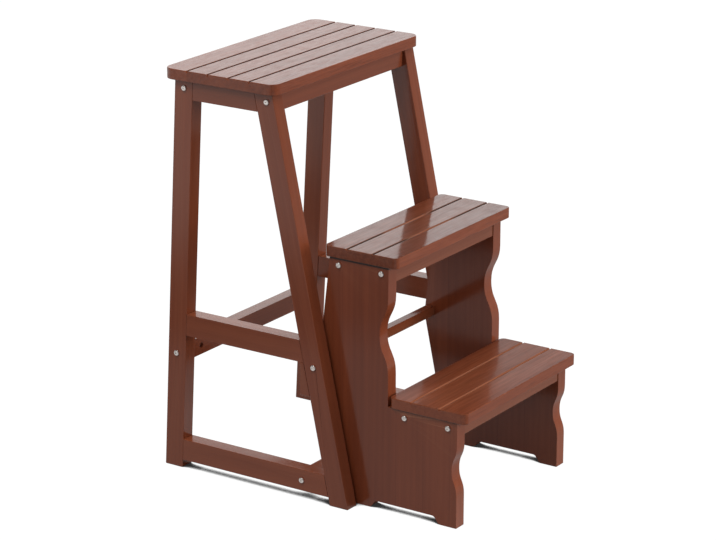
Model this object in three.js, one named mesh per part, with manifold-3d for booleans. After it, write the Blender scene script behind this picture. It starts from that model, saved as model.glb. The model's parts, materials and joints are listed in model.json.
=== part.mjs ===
// Folding step stool in stained wood: a fixed frame with a grooved seat, and a step unit with
// two treads that turns on a pivot through the front legs and folds down inside the frame.
// Millimetres. +Z is up, the steps face -Y, and left is -X. The origin is on the floor, under
// the centre of the object's box. "Reach" is a distance forward from the back legs' heels.

import * as THREE from 'three';
import { mergeVertices } from 'three/addons/utils/BufferGeometryUtils.js';
import Module from 'manifold-3d';

const wasm = await Module();
wasm.setup();

// Clearances
const seam = 0.3;
const boltClearance = 0.3;
const cutOverrun = 4;

// Frame: overall sizes and legs
const seatHeight = 630;
const seatThickness = 16.5;
const frameWidth = 372;
const legThickness = 24;
const legDepth = 32.4;
const rearLegLean = 33.4;
const frontFootReach = 338.6;
const frontTopReach = 208.6;

// Seat board
const seatEndOverhang = 7.5;
const seatRearOverhang = 17.2;
const seatFrontOverhang = 9;
const seatCornerRadius = 17;
const seatGroovePitch = 37.4;
const seatGrooveCount = 4;

// Grooves routed in the seat and the treads
const grooveWidth = 3.4;
const grooveDepth = 3.4;

// Rails and aprons of the frame
const sideRailThickness = 23;
const topRailHeight = 29;
const apronThickness = 21;
const topBoltDrop = 11.8;
const frontTopBoltInset = 12.3;
const rearTopBoltInset = 17.4;
const midRailTop = 250;
const midRailHeight = 34;
const bottomRailTop = 46.6;
const bottomRailHeight = 34;
const stretcherZ = 185.2;
const stretcherHeight = 28.5;
const crossRailSetback = 43.7;
const crossRailSize = 20;
const pivotBlockDepth = 6;
const pivotBlockBottom = 164.5;

// Pivot of the step unit
const pivotZ = 211.6;
const pivotInset = 15.5;
const pivotGap = 6.4;
const pivotBarHeight = 15;
const pivotBarDepth = 13;
const pivotSpacerRadius = 9;

// Treads and step panels; reaches here are measured forward from the pivot
const upperTreadTop = 394;
const lowerTreadTop = 181;
const treadThickness = 16.5;
const treadEndOverhang = 3.2;
const treadRearOverhang = 8.3;
const treadFrontOverhang = 16.2;
const treadCornerRadius = 8.5;
const lowerTreadGap = 3.6;
const upperFirstGroove = 40.4;
const upperGroovePitch = 44.6;
const lowerFirstGroove = 38.4;
const lowerGroovePitch = 48;
const treadGrooveCount = 2;
const panelThickness = 21;
const panelHeadRear = 9;
const panelHeadFront = 111;
const panelFootFront = 230;
const panelFootClearance = 3.4;
const panelShoulderZ = 205;

// Waves cut in the panels' front edges, and the arch in their feet
const upperWaveDrop = 46.2;
const upperWaveRise = 47.8;
const upperWaveDepth = 15;
const lowerWaveDrop = 36.2;
const lowerWaveBottom = 49;
const lowerWaveDepth = 8.5;
const archHeight = 11.5;
const frontFootLength = 27;
const rearFootLength = 46;
const archRamp = 15;

// Aprons under the treads
const stepApronThickness = 21;
const stepApronSetback = 1;
const upperApronHeight = 26.5;
const lowerApronHeight = 23.5;
const headRearApronSetback = 5.2;
const footRearApronSetback = 15;
const stepBoltDrop = 11;
const upperFrontBoltInset = 11.9;
const lowerFrontBoltInset = 15.3;

// Hex socket bolts and barrel nuts
const boltHeadRadius = 4.2;
const boltHeadHeight = 2.4;
const boltHeadCrown = 0.8;
const boltShankRadius = 2.8;
const boltGrip = 34;
const socketAcrossCorners = 4;
const socketDepth = 1.9;
const nutRadius = 4;
const nutLength = 11;
const nutInset = 24;

// Facets
const roundSides = 16;
const holeSides = 10;
const socketSides = 6;
const curveSteps = 10;

// A quarter of a turn, in radians and in degrees
const quarterTurn = Math.PI / 2;
const quarterTurnDegrees = 90;

// Derived places
const legInner = frameWidth / 2 - legThickness;
const seatUnderside = seatHeight - seatThickness;
const topRailZ = seatUnderside - topRailHeight / 2;
const bottomRailZ = bottomRailTop - bottomRailHeight / 2;
const topBoltZ = seatUnderside - topBoltDrop;

// Reach of the front legs' front edge and of the rear legs' back edge at a height
const frontLegFace = (z) => frontFootReach - (frontFootReach - frontTopReach) * z / seatUnderside;
const rearLegFace = (z) => rearLegLean * z / seatUnderside;
const frontLegBack = (z) => frontLegFace(z) - legDepth;
const rearLegFront = (z) => rearLegFace(z) + legDepth;
const frontLegCentre = (z) => frontLegFace(z) - legDepth / 2;
const rearLegCentre = (z) => rearLegFace(z) + legDepth / 2;

const crossRailReach = frontLegBack(bottomRailZ) - crossRailSetback;
const frontTopBoltReach = frontLegFace(topBoltZ) - frontTopBoltInset;
const rearTopBoltReach = rearLegFace(topBoltZ) + rearTopBoltInset;
const pivotReach = frontLegFace(pivotZ) - pivotInset;
const panelOuter = legInner - pivotGap;
const panelInner = panelOuter - panelThickness;
const treadHalfLength = panelOuter + treadEndOverhang;
const panelTop = upperTreadTop - treadThickness - seam;
const panelShelf = lowerTreadTop - treadThickness - seam;
const upperWaveTop = panelTop - upperWaveDrop;
const upperWaveBottom = panelShelf + upperWaveRise;
const lowerWaveTop = panelShelf - lowerWaveDrop;
const headRearReach = pivotReach + panelHeadRear;
const headFrontReach = pivotReach + panelHeadFront;
const footFrontReach = pivotReach + panelFootFront;
const upperTreadRear = headRearReach - treadRearOverhang;
const upperTreadFront = headFrontReach + treadFrontOverhang;
const lowerTreadRear = headFrontReach + lowerTreadGap;
const lowerTreadFront = footFrontReach + treadFrontOverhang;

// The box runs from the rear legs' heels to the lower tread's front edge
const originReach = lowerTreadFront / 2;
const along = (reach) => originReach - reach;

// Colours
const woodLook = { color: 0x74402c, roughness: 0.28, metalness: 0 };
const steelLook = { color: 0xb9b4ae, roughness: 0.3, metalness: 1 };
const nylonLook = { color: 0x2a2624, roughness: 0.5, metalness: 0 };

const stool = new THREE.Group();

// Solids and meshes
function toSolid(geometry) {
  const bare = geometry.clone();
  bare.deleteAttribute('normal');
  bare.deleteAttribute('uv');
  const merged = mergeVertices(bare);
  return new wasm.Manifold(new wasm.Mesh({
    numProp: 3,
    vertProperties: merged.attributes.position.array,
    triVerts: merged.index.array,
  }));
}

function add(name, solid, look) {
  const mesh = solid.getMesh();
  const geometry = new THREE.BufferGeometry();
  geometry.setAttribute('position', new THREE.BufferAttribute(mesh.vertProperties, mesh.numProp));
  geometry.setIndex(new THREE.BufferAttribute(mesh.triVerts, 1));
  geometry.computeVertexNormals();
  const piece = new THREE.Mesh(geometry, new THREE.MeshStandardMaterial(look));
  piece.name = name;
  stool.add(piece);
}

function cutAll(solid, cutters) {
  return cutters.reduce((rest, cutter) => rest.subtract(cutter), solid);
}

// A side outline, drawn in reach and height, given thickness across the stool
function board(outline, fromX, toX) {
  const lowX = Math.min(fromX, toX);
  const geometry = new THREE.ExtrudeGeometry(outline, {
    depth: Math.abs(toX - fromX),
    bevelEnabled: false,
    curveSegments: curveSteps,
  });
  const turned = new THREE.Matrix4().makeBasis(
    new THREE.Vector3(0, 1, 0),
    new THREE.Vector3(0, 0, 1),
    new THREE.Vector3(1, 0, 0),
  );
  geometry.applyMatrix4(turned);
  geometry.translate(lowX, 0, 0);
  return toSolid(geometry);
}

// A closed outline through corners given as [reach, height]
function outlineThrough(corners) {
  return new THREE.Shape(corners.map(([reach, z]) => new THREE.Vector2(along(reach), z)));
}

// A straight piece across the stool, with a rectangular section about a centre
function crossPiece(halfLength, centreReach, centreZ, depth, height) {
  const corners = [
    [centreReach - depth / 2, centreZ - height / 2],
    [centreReach + depth / 2, centreZ - height / 2],
    [centreReach + depth / 2, centreZ + height / 2],
    [centreReach - depth / 2, centreZ + height / 2],
  ];
  return board(outlineThrough(corners), -halfLength, halfLength);
}

function rodAcross(radius, fromX, toX, reach, z, sideCount) {
  const geometry = new THREE.CylinderGeometry(radius, radius, Math.abs(toX - fromX), sideCount);
  geometry.rotateZ(quarterTurn);
  geometry.translate((fromX + toX) / 2, along(reach), z);
  return toSolid(geometry);
}

function rodForward(radius, x, fromReach, toReach, z, sideCount) {
  const geometry = new THREE.CylinderGeometry(radius, radius, Math.abs(toReach - fromReach), sideCount);
  geometry.translate(x, along((fromReach + toReach) / 2), z);
  return toSolid(geometry);
}

// Grooved boards: the seat and the treads
function groovedBoard(size) {
  const low = size.top - size.thickness;
  const outline = new THREE.Shape();
  outline.moveTo(along(size.rear), low);
  outline.lineTo(along(size.rear), size.top);
  for (let index = 0; index < size.grooveCount; index += 1) {
    const centre = size.firstGroove + index * size.groovePitch;
    outline.lineTo(along(centre - grooveWidth / 2), size.top);
    outline.lineTo(along(centre), size.top - grooveDepth);
    outline.lineTo(along(centre + grooveWidth / 2), size.top);
  }
  outline.lineTo(along(size.front), size.top);
  outline.lineTo(along(size.front), low);
  outline.closePath();
  const slab = board(outline, -size.halfLength, size.halfLength);
  return slab.intersect(roundedPlan(size, low));
}

function roundedPlan(size, low) {
  const x = size.halfLength;
  const y0 = along(size.front);
  const y1 = along(size.rear);
  const r = size.cornerRadius;
  const plan = new THREE.Shape();
  plan.moveTo(-x + r, y0);
  plan.absarc(x - r, y0 + r, r, -quarterTurn, 0, false);
  plan.absarc(x - r, y1 - r, r, 0, quarterTurn, false);
  plan.absarc(-x + r, y1 - r, r, quarterTurn, 2 * quarterTurn, false);
  plan.absarc(-x + r, y0 + r, r, 2 * quarterTurn, 3 * quarterTurn, false);
  const geometry = new THREE.ExtrudeGeometry(plan, {
    depth: size.thickness + 2 * cutOverrun,
    bevelEnabled: false,
    curveSegments: curveSteps,
  });
  geometry.translate(0, 0, low - cutOverrun);
  return toSolid(geometry);
}

// Bolts run across the stool, head outwards, with side -1 on the left and 1 on the right
function boltSolid(side, faceX, length, reach, z) {
  const profile = [
    [0, -length],
    [boltShankRadius, -length],
    [boltShankRadius, seam],
    [boltHeadRadius, seam],
    [boltHeadRadius, seam + boltHeadHeight - boltHeadCrown],
    [boltHeadRadius - boltHeadCrown, seam + boltHeadHeight],
    [0, seam + boltHeadHeight],
  ].map(([radius, out]) => new THREE.Vector2(radius, out));
  const geometry = new THREE.LatheGeometry(profile, roundSides);
  const socket = new THREE.CylinderGeometry(
    socketAcrossCorners / 2,
    socketAcrossCorners / 2,
    socketDepth + cutOverrun,
    socketSides,
  );
  socket.translate(0, seam + boltHeadHeight - socketDepth + (socketDepth + cutOverrun) / 2, 0);
  const solid = toSolid(geometry).subtract(toSolid(socket));
  return solid.rotate([0, 0, -side * quarterTurnDegrees]).translate([side * faceX, along(reach), z]);
}

function boltHole(side, fromX, toX, reach, z) {
  return rodAcross(boltShankRadius + boltClearance, side * fromX, side * toX, reach, z, holeSides);
}

function nutSolid(x, reach, z) {
  const nut = rodForward(nutRadius, x, reach - nutLength / 2, reach + nutLength / 2, z, roundSides);
  const past = nutRadius + cutOverrun;
  return nut.subtract(boltHole(1, x - past, x + past, reach, z));
}

// The hole for a barrel nut is open on one side of its rail: openSide is 1 for the front
function nutPocket(x, reach, z, openSide, openFace) {
  const deepEnd = reach - openSide * (nutLength / 2 + boltClearance);
  return rodForward(nutRadius + boltClearance, x, deepEnd, openFace + openSide * cutOverrun, z, holeSides);
}

const sides = [
  { name: 'left', side: -1 },
  { name: 'right', side: 1 },
];

// Cuts both ends of a cross piece for its bolts, and for barrel nuts where it has them
function drilled(solid, halfLength, reach, z, nuts) {
  const cutters = [];
  for (const { side } of sides) {
    const end = halfLength - boltGrip - boltClearance;
    cutters.push(boltHole(side, halfLength + cutOverrun, end, reach, z));
    if (nuts) {
      cutters.push(nutPocket(side * (halfLength - nutInset), reach, z, nuts.openSide, nuts.openFace));
    }
  }
  return cutAll(solid, cutters);
}

// Seat, aprons, legs and rails
function addFrame() {
  const seatRear = rearLegFace(seatUnderside) - seatRearOverhang;
  const seatFront = frontTopReach + seatFrontOverhang;
  const grooveSpan = (seatGrooveCount - 1) * seatGroovePitch;
  add('seat', groovedBoard({
    top: seatHeight,
    thickness: seatThickness,
    rear: seatRear,
    front: seatFront,
    halfLength: frameWidth / 2 + seatEndOverhang,
    cornerRadius: seatCornerRadius,
    firstGroove: (seatRear + seatFront - grooveSpan) / 2,
    groovePitch: seatGroovePitch,
    grooveCount: seatGrooveCount,
  }), woodLook);

  const span = legInner - seam;
  const frontReach = frontLegCentre(topRailZ);
  const rearReach = rearLegCentre(topRailZ);
  const height = topRailHeight - 2 * seam;
  const front = crossPiece(span, frontReach, topRailZ, apronThickness, height);
  const rear = crossPiece(span, rearReach, topRailZ, apronThickness, height);
  add('front_apron', drilled(front, span, frontTopBoltReach, topBoltZ), woodLook);
  add('rear_apron', drilled(rear, span, rearTopBoltReach, topBoltZ), woodLook);

  const stretcherReach = rearLegCentre(stretcherZ);
  const stretcher = crossPiece(span, stretcherReach, stretcherZ, apronThickness, stretcherHeight);
  const stretcherNuts = { openSide: 1, openFace: stretcherReach + apronThickness / 2 };
  add('rear_stretcher', drilled(stretcher, span, stretcherReach, stretcherZ, stretcherNuts), woodLook);

  const crossSpan = frameWidth / 2 - sideRailThickness - seam;
  const crossRail = crossPiece(crossSpan, crossRailReach, bottomRailZ, crossRailSize, crossRailSize);
  const crossNuts = { openSide: -1, openFace: crossRailReach - crossRailSize / 2 };
  const drilledCross = drilled(crossRail, crossSpan, crossRailReach, bottomRailZ, crossNuts);
  add('bottom_cross_rail', drilledCross, woodLook);
}

// A rail between the rear leg and the front leg of one side frame, its ends cut to the legs
function sideRail(side, low, high) {
  const corners = [
    [rearLegFront(low) + seam, low],
    [frontLegBack(low) - seam, low],
    [frontLegBack(high) - seam, high],
    [rearLegFront(high) + seam, high],
  ];
  const outer = frameWidth / 2;
  return board(outlineThrough(corners), side * outer, side * (outer - sideRailThickness));
}

function addSideFrame({ name, side }) {
  const outer = frameWidth / 2;
  const legTop = seatUnderside - seam;
  const hole = (reach, z) => boltHole(side, outer + cutOverrun, legInner - cutOverrun, reach, z);

  const rearLeg = board(outlineThrough([
    [rearLegFace(0), 0],
    [rearLegFront(0), 0],
    [rearLegFront(legTop), legTop],
    [rearLegFace(legTop), legTop],
  ]), side * outer, side * legInner);
  add(`${name}_rear_leg`, cutAll(rearLeg, [
    hole(rearTopBoltReach, topBoltZ),
    hole(rearLegCentre(stretcherZ), stretcherZ),
  ]), woodLook);

  const frontLeg = board(outlineThrough([
    [frontLegBack(0), 0],
    [frontLegFace(0), 0],
    [frontLegFace(legTop), legTop],
    [frontLegBack(legTop), legTop],
  ]), side * outer, side * legInner);
  add(`${name}_front_leg`, cutAll(frontLeg, [
    hole(frontTopBoltReach, topBoltZ),
    hole(pivotReach, pivotZ),
  ]), woodLook);

  add(`${name}_top_rail`, sideRail(side, seatUnderside - topRailHeight + seam, legTop), woodLook);
  add(`${name}_mid_rail`, sideRail(side, midRailTop - midRailHeight, midRailTop), woodLook);
  const bottomRail = sideRail(side, bottomRailTop - bottomRailHeight, bottomRailTop);
  add(`${name}_bottom_rail`, cutAll(bottomRail, [hole(crossRailReach, bottomRailZ)]), woodLook);

  const blockTop = midRailTop - midRailHeight - seam;
  const blockReach = frontLegBack(blockTop) - seam - pivotBlockDepth;
  const block = outlineThrough([
    [blockReach, pivotBlockBottom],
    [frontLegBack(pivotBlockBottom) - seam, pivotBlockBottom],
    [frontLegBack(blockTop) - seam, blockTop],
    [blockReach, blockTop],
  ]);
  const blockInner = outer - sideRailThickness;
  add(`${name}_pivot_block`, board(block, side * outer, side * blockInner), woodLook);

  const throughLeg = legThickness + seam + boltGrip;
  const throughRail = sideRailThickness + seam + boltGrip;
  const rearTop = boltSolid(side, outer, throughLeg, rearTopBoltReach, topBoltZ);
  const frontTop = boltSolid(side, outer, throughLeg, frontTopBoltReach, topBoltZ);
  const stretcherBolt = boltSolid(side, outer, throughLeg, rearLegCentre(stretcherZ), stretcherZ);
  const crossBolt = boltSolid(side, outer, throughRail, crossRailReach, bottomRailZ);
  add(`${name}_rear_top_bolt`, rearTop, steelLook);
  add(`${name}_front_top_bolt`, frontTop, steelLook);
  add(`${name}_stretcher_bolt`, stretcherBolt, steelLook);
  add(`${name}_cross_rail_bolt`, crossBolt, steelLook);

  const stretcherNutX = side * (legInner - seam - nutInset);
  const crossNutX = side * (frameWidth / 2 - sideRailThickness - seam - nutInset);
  add(`${name}_stretcher_nut`, nutSolid(stretcherNutX, rearLegCentre(stretcherZ), stretcherZ), steelLook);
  add(`${name}_cross_rail_nut`, nutSolid(crossNutX, crossRailReach, bottomRailZ), steelLook);
}

// Smooth step between two points of an outline, upright at both ends
function swing(outline, fromReach, fromZ, toReach, toZ) {
  const middle = (fromZ + toZ) / 2;
  outline.bezierCurveTo(along(fromReach), middle, along(toReach), middle, along(toReach), toZ);
}

// Smooth step between two points of an outline, level at both ends
function rise(outline, fromReach, fromZ, toReach, toZ) {
  const middle = along((fromReach + toReach) / 2);
  outline.bezierCurveTo(middle, fromZ, middle, toZ, along(toReach), toZ);
}

function panelOutline() {
  const heelReach = frontLegBack(0) + panelFootClearance;
  const shoulderReach = frontLegBack(panelShoulderZ) + panelFootClearance;
  const upperWaist = (upperWaveTop + upperWaveBottom) / 2;
  const lowerWaist = (lowerWaveTop + lowerWaveBottom) / 2;
  const archFront = footFrontReach - frontFootLength;
  const archRear = heelReach + rearFootLength;
  const outline = new THREE.Shape();
  outline.moveTo(along(heelReach), 0);
  outline.lineTo(along(shoulderReach), panelShoulderZ);
  outline.lineTo(along(headRearReach), panelTop);
  outline.lineTo(along(headFrontReach), panelTop);
  outline.lineTo(along(headFrontReach), upperWaveTop);
  swing(outline, headFrontReach, upperWaveTop, headFrontReach - upperWaveDepth, upperWaist);
  swing(outline, headFrontReach - upperWaveDepth, upperWaist, headFrontReach, upperWaveBottom);
  outline.lineTo(along(headFrontReach), panelShelf);
  outline.lineTo(along(footFrontReach), panelShelf);
  outline.lineTo(along(footFrontReach), lowerWaveTop);
  swing(outline, footFrontReach, lowerWaveTop, footFrontReach - lowerWaveDepth, lowerWaist);
  swing(outline, footFrontReach - lowerWaveDepth, lowerWaist, footFrontReach, lowerWaveBottom);
  outline.lineTo(along(footFrontReach), 0);
  outline.lineTo(along(archFront), 0);
  rise(outline, archFront, 0, archFront - archRamp, archHeight);
  outline.lineTo(along(archRear + archRamp), archHeight);
  rise(outline, archRear + archRamp, archHeight, archRear, 0);
  outline.closePath();
  return outline;
}

// The aprons under the treads: where each stands, and where its bolts enter
const stepAprons = [
  {
    name: 'upper_rear',
    centre: headRearReach + headRearApronSetback + stepApronThickness / 2,
    bolt: headRearReach + headRearApronSetback + stepApronThickness / 2,
    top: panelTop,
    height: upperApronHeight,
  },
  {
    name: 'upper_front',
    centre: headFrontReach - stepApronSetback - stepApronThickness / 2,
    bolt: headFrontReach - upperFrontBoltInset,
    top: panelTop,
    height: upperApronHeight,
  },
  {
    name: 'lower_rear',
    centre: lowerTreadRear + footRearApronSetback + stepApronThickness / 2,
    bolt: lowerTreadRear + footRearApronSetback + stepApronThickness / 2,
    top: panelShelf,
    height: lowerApronHeight,
  },
  {
    name: 'lower_front',
    centre: footFrontReach - stepApronSetback - stepApronThickness / 2,
    bolt: footFrontReach - lowerFrontBoltInset,
    top: panelShelf,
    height: lowerApronHeight,
  },
];

// Treads, aprons and the pivot bar
function addStepUnit() {
  const tread = { thickness: treadThickness, halfLength: treadHalfLength, cornerRadius: treadCornerRadius };
  add('upper_tread', groovedBoard({
    ...tread,
    top: upperTreadTop,
    rear: upperTreadRear,
    front: upperTreadFront,
    firstGroove: upperTreadRear + upperFirstGroove,
    groovePitch: upperGroovePitch,
    grooveCount: treadGrooveCount,
  }), woodLook);
  add('lower_tread', groovedBoard({
    ...tread,
    top: lowerTreadTop,
    rear: lowerTreadRear,
    front: lowerTreadFront,
    firstGroove: lowerTreadRear + lowerFirstGroove,
    groovePitch: lowerGroovePitch,
    grooveCount: treadGrooveCount,
  }), woodLook);

  const span = panelInner - seam;
  for (const apron of stepAprons) {
    const boltZ = apron.top - stepBoltDrop;
    const middleZ = apron.top - apron.height / 2;
    const piece = crossPiece(span, apron.centre, middleZ, stepApronThickness, apron.height);
    const openFace = apron.centre - stepApronThickness / 2;
    const ready = drilled(piece, span, apron.bolt, boltZ, { openSide: -1, openFace });
    add(`${apron.name}_step_apron`, ready, woodLook);
  }

  const bar = crossPiece(span, pivotReach, pivotZ, pivotBarDepth, pivotBarHeight);
  const barNuts = { openSide: -1, openFace: pivotReach - pivotBarDepth / 2 };
  add('pivot_bar', drilled(bar, span, pivotReach, pivotZ, barNuts), woodLook);
}

function addStepSide({ name, side }) {
  const hole = (reach, z) => boltHole(side, panelOuter + cutOverrun, panelInner - cutOverrun, reach, z);
  const holes = stepAprons.map((apron) => hole(apron.bolt, apron.top - stepBoltDrop));
  const panel = board(panelOutline(), side * panelOuter, side * panelInner);
  add(`${name}_step_panel`, cutAll(panel, [...holes, hole(pivotReach, pivotZ)]), woodLook);

  const nutX = side * (panelInner - seam - nutInset);
  const throughPanel = panelThickness + seam + boltGrip;
  for (const apron of stepAprons) {
    const boltZ = apron.top - stepBoltDrop;
    const bolt = boltSolid(side, panelOuter, throughPanel, apron.bolt, boltZ);
    add(`${name}_${apron.name}_bolt`, bolt, steelLook);
    add(`${name}_${apron.name}_nut`, nutSolid(nutX, apron.bolt, boltZ), steelLook);
  }

  const throughAll = legThickness + pivotGap + throughPanel;
  add(`${name}_pivot_bolt`, boltSolid(side, frameWidth / 2, throughAll, pivotReach, pivotZ), steelLook);
  add(`${name}_pivot_nut`, nutSolid(nutX, pivotReach, pivotZ), steelLook);

  const spacerOuter = side * (legInner - seam);
  const spacerInner = side * (panelOuter + seam);
  const spacer = rodAcross(pivotSpacerRadius, spacerOuter, spacerInner, pivotReach, pivotZ, roundSides);
  const spacerBore = boltHole(side, legInner + cutOverrun, panelOuter - cutOverrun, pivotReach, pivotZ);
  add(`${name}_pivot_spacer`, spacer.subtract(spacerBore), nylonLook);
}

addFrame();
sides.forEach(addSideFrame);
addStepUnit();
sides.forEach(addStepSide);

export default stool;
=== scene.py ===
"""Looks of the folding step stool: stained and varnished wood, bright bolts, a pale studio."""

import json
import math
from types import SimpleNamespace

import bmesh
import bpy
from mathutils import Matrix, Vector

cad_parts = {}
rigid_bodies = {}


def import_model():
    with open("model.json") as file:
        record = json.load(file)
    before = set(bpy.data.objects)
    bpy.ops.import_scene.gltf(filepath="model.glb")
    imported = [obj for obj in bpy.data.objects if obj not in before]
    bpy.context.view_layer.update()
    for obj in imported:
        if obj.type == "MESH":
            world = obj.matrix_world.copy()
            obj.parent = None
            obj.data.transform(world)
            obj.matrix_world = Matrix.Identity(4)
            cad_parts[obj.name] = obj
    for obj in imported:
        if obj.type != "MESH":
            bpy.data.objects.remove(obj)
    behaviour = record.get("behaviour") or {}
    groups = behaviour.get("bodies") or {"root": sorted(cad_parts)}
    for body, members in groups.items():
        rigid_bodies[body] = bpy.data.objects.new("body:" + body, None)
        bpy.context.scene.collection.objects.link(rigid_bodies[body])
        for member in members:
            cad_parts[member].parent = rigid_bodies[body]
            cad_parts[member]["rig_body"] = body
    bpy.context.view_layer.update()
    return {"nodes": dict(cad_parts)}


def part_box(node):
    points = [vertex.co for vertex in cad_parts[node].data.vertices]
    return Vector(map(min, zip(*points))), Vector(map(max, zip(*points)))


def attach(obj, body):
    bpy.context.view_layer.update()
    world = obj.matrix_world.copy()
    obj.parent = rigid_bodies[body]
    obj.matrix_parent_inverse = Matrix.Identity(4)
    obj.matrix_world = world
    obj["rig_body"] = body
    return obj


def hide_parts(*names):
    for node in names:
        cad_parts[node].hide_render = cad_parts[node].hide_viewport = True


# Camera: its place in metres, where the photograph was taken from, and its lens and sensor in millimetres
camera_place = (-3.38772, -2.24786, 1.62716)
camera_azimuth = -56.0812
camera_elevation = 17.9571
camera_lens = 142.35
camera_sensor = 36.0
camera_near = 0.1
camera_far = 60.0

# Edges of the boards and of the small parts
board_edge = 0.001
rail_edge = 0.0005
small_edge = 0.0004
edge_steps = 3
edge_limit_degrees = 30.0
weld_distance = 0.00001
flat_limit_degrees = 0.5
normals_weight = 80

# Leaning legs: how far each runs along Y over its rise
leg_rise = 0.6135
front_leg_run = 0.130
rear_leg_run = -0.0334

# Wood figure, as lengths in metres along and across the grain
broad_length = 0.5
broad_width = 0.035
streak_length = 0.22
board_streak_length = 0.07
streak_width = 0.0042
blotch_length = 0.02
blotch_width = 0.005
pore_length = 0.045
pore_width = 0.0009
varnish_wave = 0.02
ring_spacing = 0.011
ring_stretch_share = 0.05
ring_radians = 20.0
pith_distance = 0.09
piece_shift = 0.731
shift_divisors = (1, 3, 7)
strip_jump = (1.3, 0.4, 0.4)

# Heights of the figure that bump the surface
pore_depth = 0.00006
streak_depth = 0.00012
varnish_depth = 0.00007

# Noises: detail, roughness and distortion
broad_character = (3.0, 0.55, 0.8)
streak_character = (4.0, 0.6, 0.2)
soft_character = (2.0, 0.5, 0.0)
blotch_character = (2.0, 0.6, 0.0)
fine_character = (3.0, 0.6, 0.0)
ring_character = {"Distortion": 9.0, "Detail": 3.0, "Detail Scale": 0.6, "Detail Roughness": 0.55}

# How much each part of the figure moves the tone
figure_middle = 0.355
broad_share = 0.28
board_streak_share = 0.36
plain_streak_share = 0.07
ring_share = 0.04
strip_share = 0.13
board_pore_share = 0.4
plain_pore_share = 0.08
glue_share = 0.3
pore_range = (0.34, 0.46)
streak_range = (0.3, 0.7)
blotch_range = (0.35, 0.6)
worn_highlight_range = (0.52, 0.60)

# Normals that count as facing an axis, and as facing up
facing_range = (0.6, 0.9)
upward_range = (0.05, 0.2)
rising_range = (0.3, 0.7)

# Strips and grooves of the boards; where strips are counted, each is 1 wide
half_strip = 0.5
panel_strip = 0.047
seat_strip = 0.0374
seat_grooves = (-1, 2)
upper_strip = 0.0446
upper_first_groove = 0.0404
lower_strip = 0.048
lower_first_groove = 0.0384
tread_grooves = (-1, 0)
groove_reach = 0.0022
groove_core_share = 0.6
groove_fade = 0.004
groove_fade_share = 0.25
glue_line = 0.0006
middle_share = 0.25
end_share = 0.45

# Painted shadows: dark bands on the panels under the treads
upper_shadow_depth = 0.0036
upper_shadow_share = 0.95
lower_shadow_depth = 0.0022
lower_shadow_share = 0.8
shadow_foot_share = 0.8
shadow_head_share = 1.3

# Wood colours, linear
wood_dark = (0.115, 0.0240, 0.0090, 1.0)
wood_middle = (0.215, 0.0485, 0.0185, 1.0)
wood_light = (0.320, 0.0790, 0.0310, 1.0)
wood_pore = (0.060, 0.0125, 0.0050, 1.0)
# Painted shade, in the grooves and under the treads
wood_painted_shade = (0.016, 0.0050, 0.0030, 1.0)
# Worn wood, also the painted highlight on edges and in the treads' grooves
wood_worn_highlight = (0.420, 0.160, 0.0800, 1.0)
wood_stops = [(0.22, wood_dark), (0.47, wood_middle), (0.78, wood_light)]

# Varnish
satin_range = (0.42, 0.32)
wood_specular = 0.1
coat_index = 1.4
blotch_share = 0.72

# Steel and nylon: marks per metre, colours, roughness and bump
steel_fine_marks = (900.0, 2600.0, 2600.0)
steel_broad_marks = (140.0, 140.0, 140.0)
steel_stops = [(0.35, (0.93, 0.79, 0.74, 1.0)), (0.65, (1.0, 0.90, 0.86, 1.0))]
steel_rough_range = (0.22, 0.4)
steel_bump_share = 0.4
nylon_marks = (1500.0, 1500.0, 1500.0)
nylon_stops = [(0.3, (0.011, 0.010, 0.009, 1.0)), (0.7, (0.020, 0.018, 0.016, 1.0))]
nylon_rough_range = (0.42, 0.6)
nylon_bump_share = 0.3

# Bolts
bolt_head_radius = 0.0042
bolt_head_height = 0.0024
bolt_head_crown = 0.0014
bolt_seam = 0.0003
bolt_shank_radius = 0.0028
bolt_tip_chamfer = 0.0006
bolt_socket_across = 0.0022
bolt_socket_rim = 0.0003
bolt_socket_depth = 0.0009
bolt_sides = 48
socket_sides = 6
crown_steps = 4

# Floor: its painted contact shadows, and how bright the varnish mirrors it, from right to left
floor_half = 12.0
floor_colour = (0.05, 0.05, 0.05, 1.0)
floor_roughness = 0.9
shadow_paint_distance = 0.03
shadow_paint_samples = 32
shadow_paint_range = (0.36, 0.48)
shadow_paint_share = 0.02
glow_way = (-0.83, 0.56, 0.0)
glow_start = -1.0
glow_end = 2.5
floor_glow = [
    (-0.2, 0.30),
    (0.1, 0.55),
    (0.75, 0.53),
    (0.95, 0.15),
    (1.1, 0.15),
    (1.3, 0.32),
    (1.5, 0.75),
    (1.75, 0.98),
]

# World: an even soft light, and a backdrop that only the varnish mirrors
white = (1.0, 1.0, 1.0, 1.0)
soft_light = (0.59, 0.59, 0.59, 1.0)
backdrop_way = (0.83, 0.56, 0.0)
backdrop_range = (0.28, 0.72)
backdrop_glow = (0.12, 1.22)
backdrop_height_range = (0.32, 0.43)
backdrop_height_shares = (1.0, 0.15)

# Lamps: name, place, side, watts, colour, and whether the varnish mirrors it
aim_point = (0.0, 0.0, 0.3)
warm = (1.0, 0.97, 0.93)
neutral = (1.0, 1.0, 1.0)
lamps = [
    ("key", (1.68, -2.69, 0.75), 1.2, 34.0, warm, False),
    ("front", (0.27, -3.12, 0.97), 1.2, 13.0, warm, False),
    ("high", (0.90, -1.44, 3.01), 1.2, 16.0, neutral, True),
    ("left", (-1.59, 0.14, 3.07), 1.0, 32.0, neutral, True),
]

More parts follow.
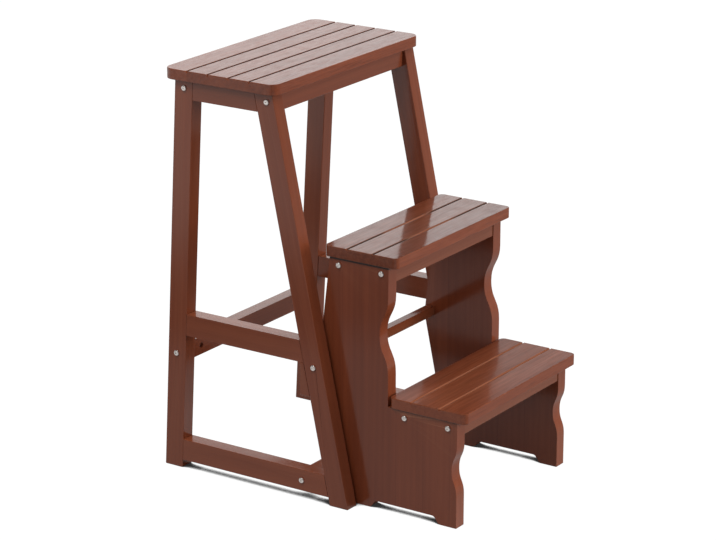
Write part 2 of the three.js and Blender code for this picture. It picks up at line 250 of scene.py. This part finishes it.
# Which way the grain runs in each wooden node
across_axis = (1.0, 0.0, 0.0)
depth_axis = (0.0, 1.0, 0.0)
upright_axis = (0.0, 0.0, 1.0)
front_axis = (0.0, front_leg_run, leg_rise)
rear_axis = (0.0, rear_leg_run, leg_rise)
grain_axes = [
    ("front_leg", front_axis),
    ("pivot_block", front_axis),
    ("rear_leg", rear_axis),
    ("top_rail", depth_axis),
    ("mid_rail", depth_axis),
    ("bottom_rail", depth_axis),
    ("step_panel", upright_axis),
]

# How much lighter or darker than the middle each kind of piece came out
piece_tones = [
    ("seat", 0.01),
    ("upper_tread", -0.20),
    ("lower_tread", -0.07),
    ("step_panel", 0.03),
    ("upper_front_apron", 0.02),
    ("lower_front_apron", 0.02),
    ("front_apron", -0.03),
    ("rear_leg", 0.06),
    ("front_leg", -0.01),
    ("mid_rail", 0.09),
    ("bottom_rail", 0.12),
]

# What the kinds of wooden piece have in common, and where some of them differ
plain_wood = {
    "strip": None,
    "glued": False,
    "grooved": False,
    "grooves": (0, 0),
    "first_groove": None,
    "groove_share": 1.0,
    "groove_colour": wood_painted_shade,
    "middle_worn": False,
    "front_tone": 0.0,
    "end_tone": 0.0,
    "worn_share": 0.45,
    "coat": 1.0,
    "side_coat": None,
    "coat_roughness": 0.13,
}
# Front and end tones are painted light and shade on those faces
panel_wood = {"strip": panel_strip, "glued": True, "front_tone": 0.12, "worn_share": 1.0}
seat_wood = {"strip": seat_strip, "grooved": True, "grooves": seat_grooves, "front_tone": 0.13}
# The treads' grooves take a painted highlight instead of painted shade
tread_wood = {"grooved": True, "grooves": tread_grooves, "groove_colour": wood_worn_highlight, "worn_share": 1.0}
upper_wood = {
    **tread_wood,
    "strip": upper_strip,
    "first_groove": upper_first_groove,
    "groove_share": 0.5,
    "middle_worn": True,
    "front_tone": 0.38,
    "end_tone": 0.08,
    "coat_roughness": 0.04,
}
lower_wood = {
    **tread_wood,
    "strip": lower_strip,
    "first_groove": lower_first_groove,
    "groove_share": 0.6,
    "front_tone": 0.21,
    "end_tone": 0.16,
    "coat": 0.28,
    "side_coat": 0.9,
    "coat_roughness": 0.09,
}
# This table's front and end tones are painted light and shade
wood_styles = [
    ("seat", seat_wood),
    ("upper_tread", upper_wood),
    ("lower_tread", lower_wood),
    ("right_step_panel", {**panel_wood, "end_tone": 0.08}),
    ("left_step_panel", panel_wood),
    ("right_rear_leg", {"front_tone": -0.07, "end_tone": 0.12}),
    ("left_rear_leg", {"front_tone": -0.07}),
]

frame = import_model()
nodes = frame["nodes"]


def by_ending(name, table, otherwise):
    for ending, value in table:
        if name.endswith(ending):
            return value
    return otherwise


# Node trees
def put(tree, kind, inputs=None, **settings):
    node = tree.nodes.new(kind)
    for name, value in settings.items():
        setattr(node, name, value)
    for name, value in (inputs or {}).items():
        if isinstance(value, bpy.types.NodeSocket):
            tree.links.new(value, node.inputs[name])
        else:
            node.inputs[name].default_value = value
    return node


def maths(tree, operation, first, second=0.0, third=0.0):
    return put(tree, "ShaderNodeMath", {0: first, 1: second, 2: third}, operation=operation).outputs[0]


def product(tree, first, *others):
    for other in others:
        first = maths(tree, "MULTIPLY", first, other)
    return first


def vectors(tree, operation, first, second):
    return put(tree, "ShaderNodeVectorMath", {0: first, 1: second}, operation=operation)


def along(tree, place, way):
    return vectors(tree, "DOT_PRODUCT", place, way).outputs["Value"]


def parts(tree, vector):
    return put(tree, "ShaderNodeSeparateXYZ", {0: vector}).outputs


def object_place(tree):
    return put(tree, "ShaderNodeTexCoord").outputs["Object"]


def noise(tree, place, marks, character):
    detail, roughness, distortion = character
    inputs = {
        "Vector": vectors(tree, "MULTIPLY", place, marks).outputs[0],
        "Scale": 1.0,
        "Detail": detail,
        "Roughness": roughness,
        "Distortion": distortion,
    }
    return put(tree, "ShaderNodeTexNoise", inputs).outputs[0]


def grain_noise(tree, grain, length, width, character):
    return noise(tree, grain, (1.0 / length, 1.0 / width, 1.0 / width), character)


def ramp(tree, value, stops):
    node = put(tree, "ShaderNodeValToRGB", {0: value})
    elements = node.color_ramp.elements
    while len(elements) < len(stops):
        elements.new(0.5)
    for element, (place, colour) in zip(elements, stops):
        element.position = place
        element.color = colour
    return node.outputs[0]


def grey_ramp(tree, value, ends, values=(0.0, 1.0)):
    inputs = {0: value, 1: ends[0], 2: ends[1], 3: values[0], 4: values[1]}
    return put(tree, "ShaderNodeMapRange", inputs, clamp=True).outputs[0]


def mixed(tree, share, first, second):
    return put(tree, "ShaderNodeMix", {0: share, 6: first, 7: second}, data_type="RGBA").outputs[2]


def bump(tree, share, depth, height, normal=None):
    inputs = {"Strength": share, "Distance": depth, "Height": height}
    if normal:
        inputs["Normal"] = normal
    return put(tree, "ShaderNodeBump", inputs).outputs[0]


def new_material(name):
    material = bpy.data.materials.new(name)
    material.use_nodes = True
    tree = material.node_tree
    return material, tree, tree.nodes["Principled BSDF"]


# Strips across the grain: the glued staves of a panel, or the slats between a board's grooves
def count_strips(tree, name, style, turned):
    low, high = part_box(name)
    offset = 0.0
    if style.first_groove:
        offset = style.first_groove - high.y
    elif style.grooved:
        offset = style.strip / 2 - (low.y + high.y) / 2
    across = parts(tree, turned)[1]
    return maths(tree, "DIVIDE", maths(tree, "ADD", across, offset), style.strip)


def middle_distance(tree, counted):
    return maths(tree, "ABSOLUTE", maths(tree, "SUBTRACT", maths(tree, "FRACT", counted), half_strip))


def growth_rings(tree, grain):
    centred = vectors(tree, "ADD", grain, (0.0, pith_distance, pith_distance)).outputs[0]
    stretched = vectors(tree, "MULTIPLY", centred, (ring_stretch_share, 1.0, 1.0)).outputs[0]
    inputs = {"Vector": stretched, "Scale": math.tau / ring_spacing / ring_radians, **ring_character}
    return put(tree, "ShaderNodeTexWave", inputs, wave_type="RINGS", rings_direction="X").outputs[1]


# Painted light and shade: front faces, and faces that look along X, made lighter or darker than the rest, as
# the light would fall on them
def painted_face_light(tree, style, facing, figure):
    low, high = facing_range
    if style.front_tone:
        forward = grey_ramp(tree, parts(tree, facing)[1], (-high, -low), (style.front_tone, 0.0))
        figure = maths(tree, "ADD", figure, forward)
    if style.end_tone:
        endward = maths(tree, "ABSOLUTE", parts(tree, facing)[0])
        figure = maths(tree, "ADD", figure, grey_ramp(tree, endward, facing_range, (0.0, style.end_tone)))
    return figure


# Painted shade in the seat's grooves and a painted highlight in the treads', stopping short of the board's
# ends; on the upper tread the highlight is only in the middle, with painted shade towards the ends
def groove_shade_and_highlight(tree, name, style, place, facing, counted, colour):
    half_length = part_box(name)[1].x
    reach = groove_reach / style.strip
    line_ends = (half_strip - reach, half_strip - groove_core_share * reach)
    inside = grey_ramp(tree, middle_distance(tree, counted), line_ends)
    after_first = maths(tree, "GREATER_THAN", counted, style.grooves[0] - half_strip)
    before_last = maths(tree, "LESS_THAN", counted, style.grooves[1] + half_strip)
    sideways = maths(tree, "ABSOLUTE", parts(tree, place)[0])
    fade_ends = (half_length - groove_fade, half_length - groove_fade_share * groove_fade)
    kept = grey_ramp(tree, sideways, fade_ends, (1.0, 0.0))
    upward = grey_ramp(tree, parts(tree, facing)[2], upward_range)
    strength = style.groove_share
    groove_paint = style.groove_colour
    if style.middle_worn:
        ends = grey_ramp(tree, sideways, (middle_share * half_length, end_share * half_length))
        strength = maths(tree, "MULTIPLY_ADD", ends, 1.0 - style.groove_share, style.groove_share)
        groove_paint = mixed(tree, ends, style.groove_colour, wood_painted_shade)
    share = product(tree, inside, after_first, before_last, kept, strength, upward)
    return mixed(tree, share, colour, groove_paint)


# Painted shadow: dark bands where the panels' sides show in the gap under each tread, standing in for the
# shade under its overhang
def painted_tread_shadows(tree, place, colour):
    painted_shadows = [
        ("upper_tread", upper_shadow_depth, upper_shadow_share),
        ("lower_tread", lower_shadow_depth, lower_shadow_share),
    ]
    for tread, depth, strength in painted_shadows:
        low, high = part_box(tread)
        heights = parts(tree, place)
        foot = grey_ramp(tree, heights[2], (low.z - depth, low.z - depth * shadow_foot_share), (0.0, strength))
        head = grey_ramp(tree, heights[2], (low.z + depth, low.z + depth * shadow_head_share), (1.0, 0.0))
        behind = grey_ramp(tree, heights[1], (high.y - depth, high.y), (1.0, 0.0))
        colour = mixed(tree, product(tree, foot, head, behind), colour, wood_painted_shade)
    return colour


# Stained wood: the grain runs along the axis
def wood_material(name, style, axis, tone, shift):
    material, tree, shader = new_material(f"wood_{name}")
    turn = Vector(axis).normalized().rotation_difference(Vector(across_axis)).to_matrix().to_euler("XYZ")
    place = object_place(tree)
    turned = put(tree, "ShaderNodeMapping", {"Vector": place, "Rotation": turn}).outputs[0]
    facing = put(tree, "ShaderNodeNewGeometry").outputs["True Normal"]
    grain = vectors(tree, "ADD", turned, shift).outputs[0]
    if style.strip:
        counted = count_strips(tree, name, style, turned)
        index = maths(tree, "FLOOR", counted)
        strip_noise = put(tree, "ShaderNodeTexWhiteNoise", {"W": index}, noise_dimensions="1D").outputs
        jump = vectors(tree, "MULTIPLY", strip_noise[1], strip_jump).outputs[0]
        grain = vectors(tree, "ADD", grain, jump).outputs[0]

    # Figure: how light the stain came out at each place, plus painted light and shade on the front and end
    # faces
    length = board_streak_length if style.grooved else streak_length
    streak_share = board_streak_share if style.grooved else plain_streak_share
    broad = grain_noise(tree, grain, broad_length, broad_width, broad_character)
    streak = grain_noise(tree, grain, length, streak_width, streak_character)
    pore = grain_noise(tree, grain, pore_length, pore_width, soft_character)
    figure = maths(tree, "MULTIPLY_ADD", broad, broad_share, tone + figure_middle - streak_share / 2)
    figure = maths(tree, "MULTIPLY_ADD", streak, streak_share, figure)
    figure = maths(tree, "MULTIPLY_ADD", growth_rings(tree, grain), -ring_share, figure)
    if style.strip:
        figure = maths(tree, "MULTIPLY_ADD", strip_noise[0], strip_share, figure)
        figure = maths(tree, "SUBTRACT", figure, strip_share / 2)
    # Painted light and shade on the front and end faces
    figure = painted_face_light(tree, style, facing, figure)

    # Colour: the stain, then pores, glue lines, painted shadow under the treads, grooves with painted shade
    # or highlight, and worn edges with a painted highlight
    colour = ramp(tree, figure, wood_stops)
    pore_share = board_pore_share if style.grooved else plain_pore_share
    colour = mixed(tree, grey_ramp(tree, pore, pore_range, (pore_share, 0.0)), colour, wood_pore)
    if style.glued:
        line_ends = (half_strip - glue_line / style.strip, half_strip)
        line = grey_ramp(tree, middle_distance(tree, counted), line_ends, (0.0, glue_share))
        colour = mixed(tree, line, colour, wood_pore)
        colour = painted_tread_shadows(tree, place, colour)
    if style.grooved:
        colour = groove_shade_and_highlight(tree, name, style, place, facing, counted, colour)
    # Lighter edges: wear, and a painted highlight where the rounded edges would catch the light
    edge = put(tree, "ShaderNodeNewGeometry").outputs["Pointiness"]
    worn_highlight = product(tree, grey_ramp(tree, edge, worn_highlight_range, (0.0, style.worn_share)), streak)
    colour = mixed(tree, worn_highlight, colour, wood_worn_highlight)
    tree.links.new(colour, shader.inputs["Base Color"])

    # Varnish: a satin stain under a coat that is thinner in blotches on the boards
    tree.links.new(grey_ramp(tree, streak, streak_range, satin_range), shader.inputs["Roughness"])
    shader.inputs["Specular IOR Level"].default_value = wood_specular
    shader.inputs["Coat Weight"].default_value = style.coat
    shader.inputs["Coat IOR"].default_value = coat_index
    shader.inputs["Coat Roughness"].default_value = style.coat_roughness
    if style.grooved:
        blotch = grain_noise(tree, grain, blotch_length, blotch_width, blotch_character)
        coat = grey_ramp(tree, blotch, blotch_range, (style.coat * blotch_share, style.coat))
        if style.side_coat:
            side = grey_ramp(tree, parts(tree, facing)[2], rising_range, (style.side_coat, 0.0))
            coat = maths(tree, "MAXIMUM", coat, side)
        tree.links.new(coat, shader.inputs["Coat Weight"])
    wave = grain_noise(tree, grain, varnish_wave, varnish_wave, soft_character)
    pore_bump = bump(tree, 1.0, pore_depth, pore)
    tree.links.new(bump(tree, 1.0, streak_depth, streak, pore_bump), shader.inputs["Normal"])
    coat_height = maths(tree, "ADD", wave, streak)
    tree.links.new(bump(tree, 1.0, varnish_depth, coat_height), shader.inputs["Coat Normal"])
    return material


# Steel or nylon: fine marks roughen and bump it, and broad ones, if any, give its tone
def small_part_material(name, marks, stops, rough_range, bump_share, metallic):
    material, tree, shader = new_material(name)
    fine_marks, tone_marks = marks
    place = object_place(tree)
    fine = noise(tree, place, fine_marks, fine_character)
    tone = noise(tree, place, tone_marks, soft_character) if tone_marks else fine
    tree.links.new(ramp(tree, tone, stops), shader.inputs["Base Color"])
    shader.inputs["Metallic"].default_value = metallic
    tree.links.new(grey_ramp(tree, fine, streak_range, rough_range), shader.inputs["Roughness"])
    tree.links.new(bump(tree, bump_share, pore_depth, fine), shader.inputs["Normal"])
    return material


# Softened edges on a CAD node, with flat faces kept flat
def soften(node, width, flatten=False):
    mesh = node.data
    mesh.polygons.foreach_set("use_smooth", [True] * len(mesh.polygons))
    weld = node.modifiers.new("weld", "WELD")
    weld.merge_threshold = weld_distance
    if flatten:
        flat = node.modifiers.new("flat", "DECIMATE")
        flat.decimate_type = "DISSOLVE"
        flat.angle_limit = math.radians(flat_limit_degrees)
    bevel = node.modifiers.new("bevel", "BEVEL")
    bevel.width = width
    bevel.segments = edge_steps
    bevel.limit_method = "ANGLE"
    bevel.angle_limit = math.radians(edge_limit_degrees)
    bevel.miter_outer = "MITER_ARC"
    normals = node.modifiers.new("normals", "WEIGHTED_NORMAL")
    normals.weight = normals_weight
    normals.keep_sharp = True


def dress(node, material):
    node.data.materials.clear()
    node.data.materials.append(material)


def dress_frame():
    steel = small_part_material(
        "bolt_steel",
        (steel_fine_marks, steel_broad_marks),
        steel_stops,
        steel_rough_range,
        steel_bump_share,
        metallic=1.0,
    )
    nylon = small_part_material(
        "nylon",
        (nylon_marks, None),
        nylon_stops,
        nylon_rough_range,
        nylon_bump_share,
        metallic=0.0,
    )
    for index, name in enumerate(sorted(nodes)):
        node = nodes[name]
        if name.endswith(("bolt", "nut")):
            dress(node, steel)
            soften(node, small_edge)
        elif name.endswith("spacer"):
            dress(node, nylon)
            soften(node, small_edge)
        else:
            style = SimpleNamespace(**{**plain_wood, **by_ending(name, wood_styles, {})})
            axis = by_ending(name, grain_axes, across_axis)
            tone = by_ending(name, piece_tones, 0.0)
            shift = [index * piece_shift / divisor for divisor in shift_divisors]
            dress(node, wood_material(name, style, axis, tone, shift))
            soften(node, rail_edge if name.endswith("_rail") else board_edge, style.grooved)


# A smooth bolt with a crowned head and a hex socket, which stands for its CAD solid
def bolt_rings(length):
    rings = [
        (0.0, -length, False),
        (bolt_shank_radius - bolt_tip_chamfer, -length, False),
        (bolt_shank_radius, -length + bolt_tip_chamfer, False),
        (bolt_shank_radius, bolt_seam, False),
        (bolt_head_radius - bolt_seam, bolt_seam, False),
        (bolt_head_radius, bolt_seam + bolt_seam, False),
    ]
    top = bolt_seam + bolt_head_height
    for step in range(crown_steps + 1):
        angle = math.pi / 2 * step / crown_steps
        radius = bolt_head_radius - bolt_head_crown * (1 - math.cos(angle))
        rings.append((radius, top - bolt_head_crown * (1 - math.sin(angle)), False))
    rings.append((bolt_socket_across / 2 + bolt_socket_rim, top, True))
    rings.append((bolt_socket_across / 2, top - bolt_socket_rim, True))
    rings.append((bolt_socket_across / 2, top - bolt_socket_depth, True))
    rings.append((0.0, top - bolt_socket_depth - bolt_socket_rim, False))
    return rings


def hex_radius(apothem, angle):
    sector = math.tau / socket_sides
    return apothem / math.cos((angle % sector) - sector / 2)


def bolt_loops(made, name):
    low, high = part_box(name)
    side = -1 if low.x < -high.x else 1
    centre = (low + high) / 2
    head = bolt_head_height + bolt_seam
    face = max(-low.x, high.x) - head
    loops = []
    for radius, out, hexed in bolt_rings(high.x - low.x - head):
        loop = []
        for step in range(bolt_sides if radius else 1):
            angle = math.tau * step / bolt_sides
            reach = hex_radius(radius, angle) if hexed else radius
            across = side * (face + out)
            depth = centre.y + reach * math.cos(angle)
            height = centre.z + reach * math.sin(angle)
            loop.append(made.verts.new((across, depth, height)))
        loops.append(loop)
    return loops


def bolt_piece(name, material):
    made = bmesh.new()
    loops = bolt_loops(made, name)
    for first, second in zip(loops, loops[1:]):
        for step in range(bolt_sides):
            following = (step + 1) % bolt_sides
            corners = [
                first[step % len(first)],
                first[following % len(first)],
                second[following % len(second)],
                second[step % len(second)],
            ]
            made.faces.new(list(dict.fromkeys(corners)))
    bmesh.ops.recalc_face_normals(made, faces=made.faces)
    for face in made.faces:
        face.smooth = True
    mesh = bpy.data.meshes.new(f"{name}_turned")
    made.to_mesh(mesh)
    made.free()
    mesh.set_sharp_from_angle(angle=math.radians(edge_limit_degrees))
    mesh.materials.append(material)
    piece = bpy.data.objects.new(f"{name}_turned", mesh)
    bpy.context.scene.collection.objects.link(piece)
    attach(piece, nodes[name]["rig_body"])
    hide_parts(name)


def add_bolts():
    steel = bpy.data.materials["bolt_steel"]
    for name in sorted(nodes):
        if name.endswith("bolt"):
            bolt_piece(name, steel)


# Floor, which glows white, with contact shadows painted in from ambient occlusion
def add_floor():
    mesh = bpy.data.meshes.new("floor")
    corners = [
        (-floor_half, -floor_half, 0.0),
        (floor_half, -floor_half, 0.0),
        (floor_half, floor_half, 0.0),
        (-floor_half, floor_half, 0.0),
    ]
    mesh.from_pydata(corners, [], [range(len(corners))])
    floor = bpy.data.objects.new("floor", mesh)
    bpy.context.scene.collection.objects.link(floor)
    material, tree, shader = new_material("floor")
    shader.inputs["Base Color"].default_value = floor_colour
    shader.inputs["Roughness"].default_value = floor_roughness
    shader.inputs["Specular IOR Level"].default_value = 0.0
    shader.inputs["Emission Color"].default_value = white
    path = put(tree, "ShaderNodeLightPath").outputs
    # Painted contact shadow: ambient occlusion dims the floor's glow under and beside the stool
    inputs = {"Distance": shadow_paint_distance}
    occlusion = put(tree, "ShaderNodeAmbientOcclusion", inputs, samples=shadow_paint_samples).outputs[1]
    unshaded_share = grey_ramp(tree, occlusion, shadow_paint_range, (shadow_paint_share, 1.0))
    stops = []
    for reach, glow in floor_glow:
        stops.append(((reach - glow_start) / (glow_end - glow_start), (glow, glow, glow, 1.0)))
    reach = grey_ramp(tree, along(tree, object_place(tree), glow_way), (glow_start, glow_end))
    mirrored = ramp(tree, reach, stops)
    seen = maths(tree, "MULTIPLY_ADD", path["Is Glossy Ray"], mirrored, path["Is Camera Ray"])
    tree.links.new(product(tree, seen, unshaded_share), shader.inputs["Emission Strength"])
    mesh.materials.append(material)


# World: white where the camera sees it, a backdrop in reflections, and an even light elsewhere
def add_world():
    world = bpy.data.worlds.new("studio")
    world.use_nodes = True
    bpy.context.scene.world = world
    tree = world.node_tree
    direction = put(tree, "ShaderNodeTexCoord").outputs["Generated"]
    around = grey_ramp(tree, along(tree, direction, backdrop_way), backdrop_range, backdrop_glow)
    height = grey_ramp(tree, parts(tree, direction)[2], backdrop_height_range, backdrop_height_shares)
    path = put(tree, "ShaderNodeLightPath").outputs
    soft = mixed(tree, path["Is Glossy Ray"], soft_light, product(tree, around, height))
    seen = mixed(tree, path["Is Camera Ray"], soft, white)
    background = tree.nodes["Background"]
    tree.links.new(seen, background.inputs["Color"])
    background.inputs["Strength"].default_value = 1.0


def add_lamps():
    for name, place, side, watts, colour, mirrored in lamps:
        data = bpy.data.lights.new(name, "AREA")
        data.shape = "RECTANGLE"
        data.size = side
        data.size_y = side
        data.energy = watts
        data.color = colour
        lamp = bpy.data.objects.new(name, data)
        bpy.context.scene.collection.objects.link(lamp)
        lamp.location = place
        lamp.visible_glossy = mirrored
        towards = Vector(aim_point) - Vector(place)
        lamp.rotation_mode = "QUATERNION"
        lamp.rotation_quaternion = towards.to_track_quat("-Z", "Y")


def add_camera():
    azimuth = math.radians(camera_azimuth)
    elevation = math.radians(camera_elevation)
    back = Vector((
        math.sin(azimuth) * math.cos(elevation),
        -math.cos(azimuth) * math.cos(elevation),
        math.sin(elevation),
    ))
    data = bpy.data.cameras.new("camera")
    data.lens = camera_lens
    data.sensor_width = camera_sensor
    data.sensor_fit = "HORIZONTAL"
    data.clip_start = camera_near
    data.clip_end = camera_far
    camera = bpy.data.objects.new("camera", data)
    bpy.context.scene.collection.objects.link(camera)
    camera.location = camera_place
    camera.rotation_mode = "QUATERNION"
    camera.rotation_quaternion = (-back).to_track_quat("-Z", "Y")
    bpy.context.scene.camera = camera


bpy.context.scene.view_settings.view_transform = "Standard"
dress_frame()
add_bolts()
add_floor()
add_world()
add_lamps()
add_camera()
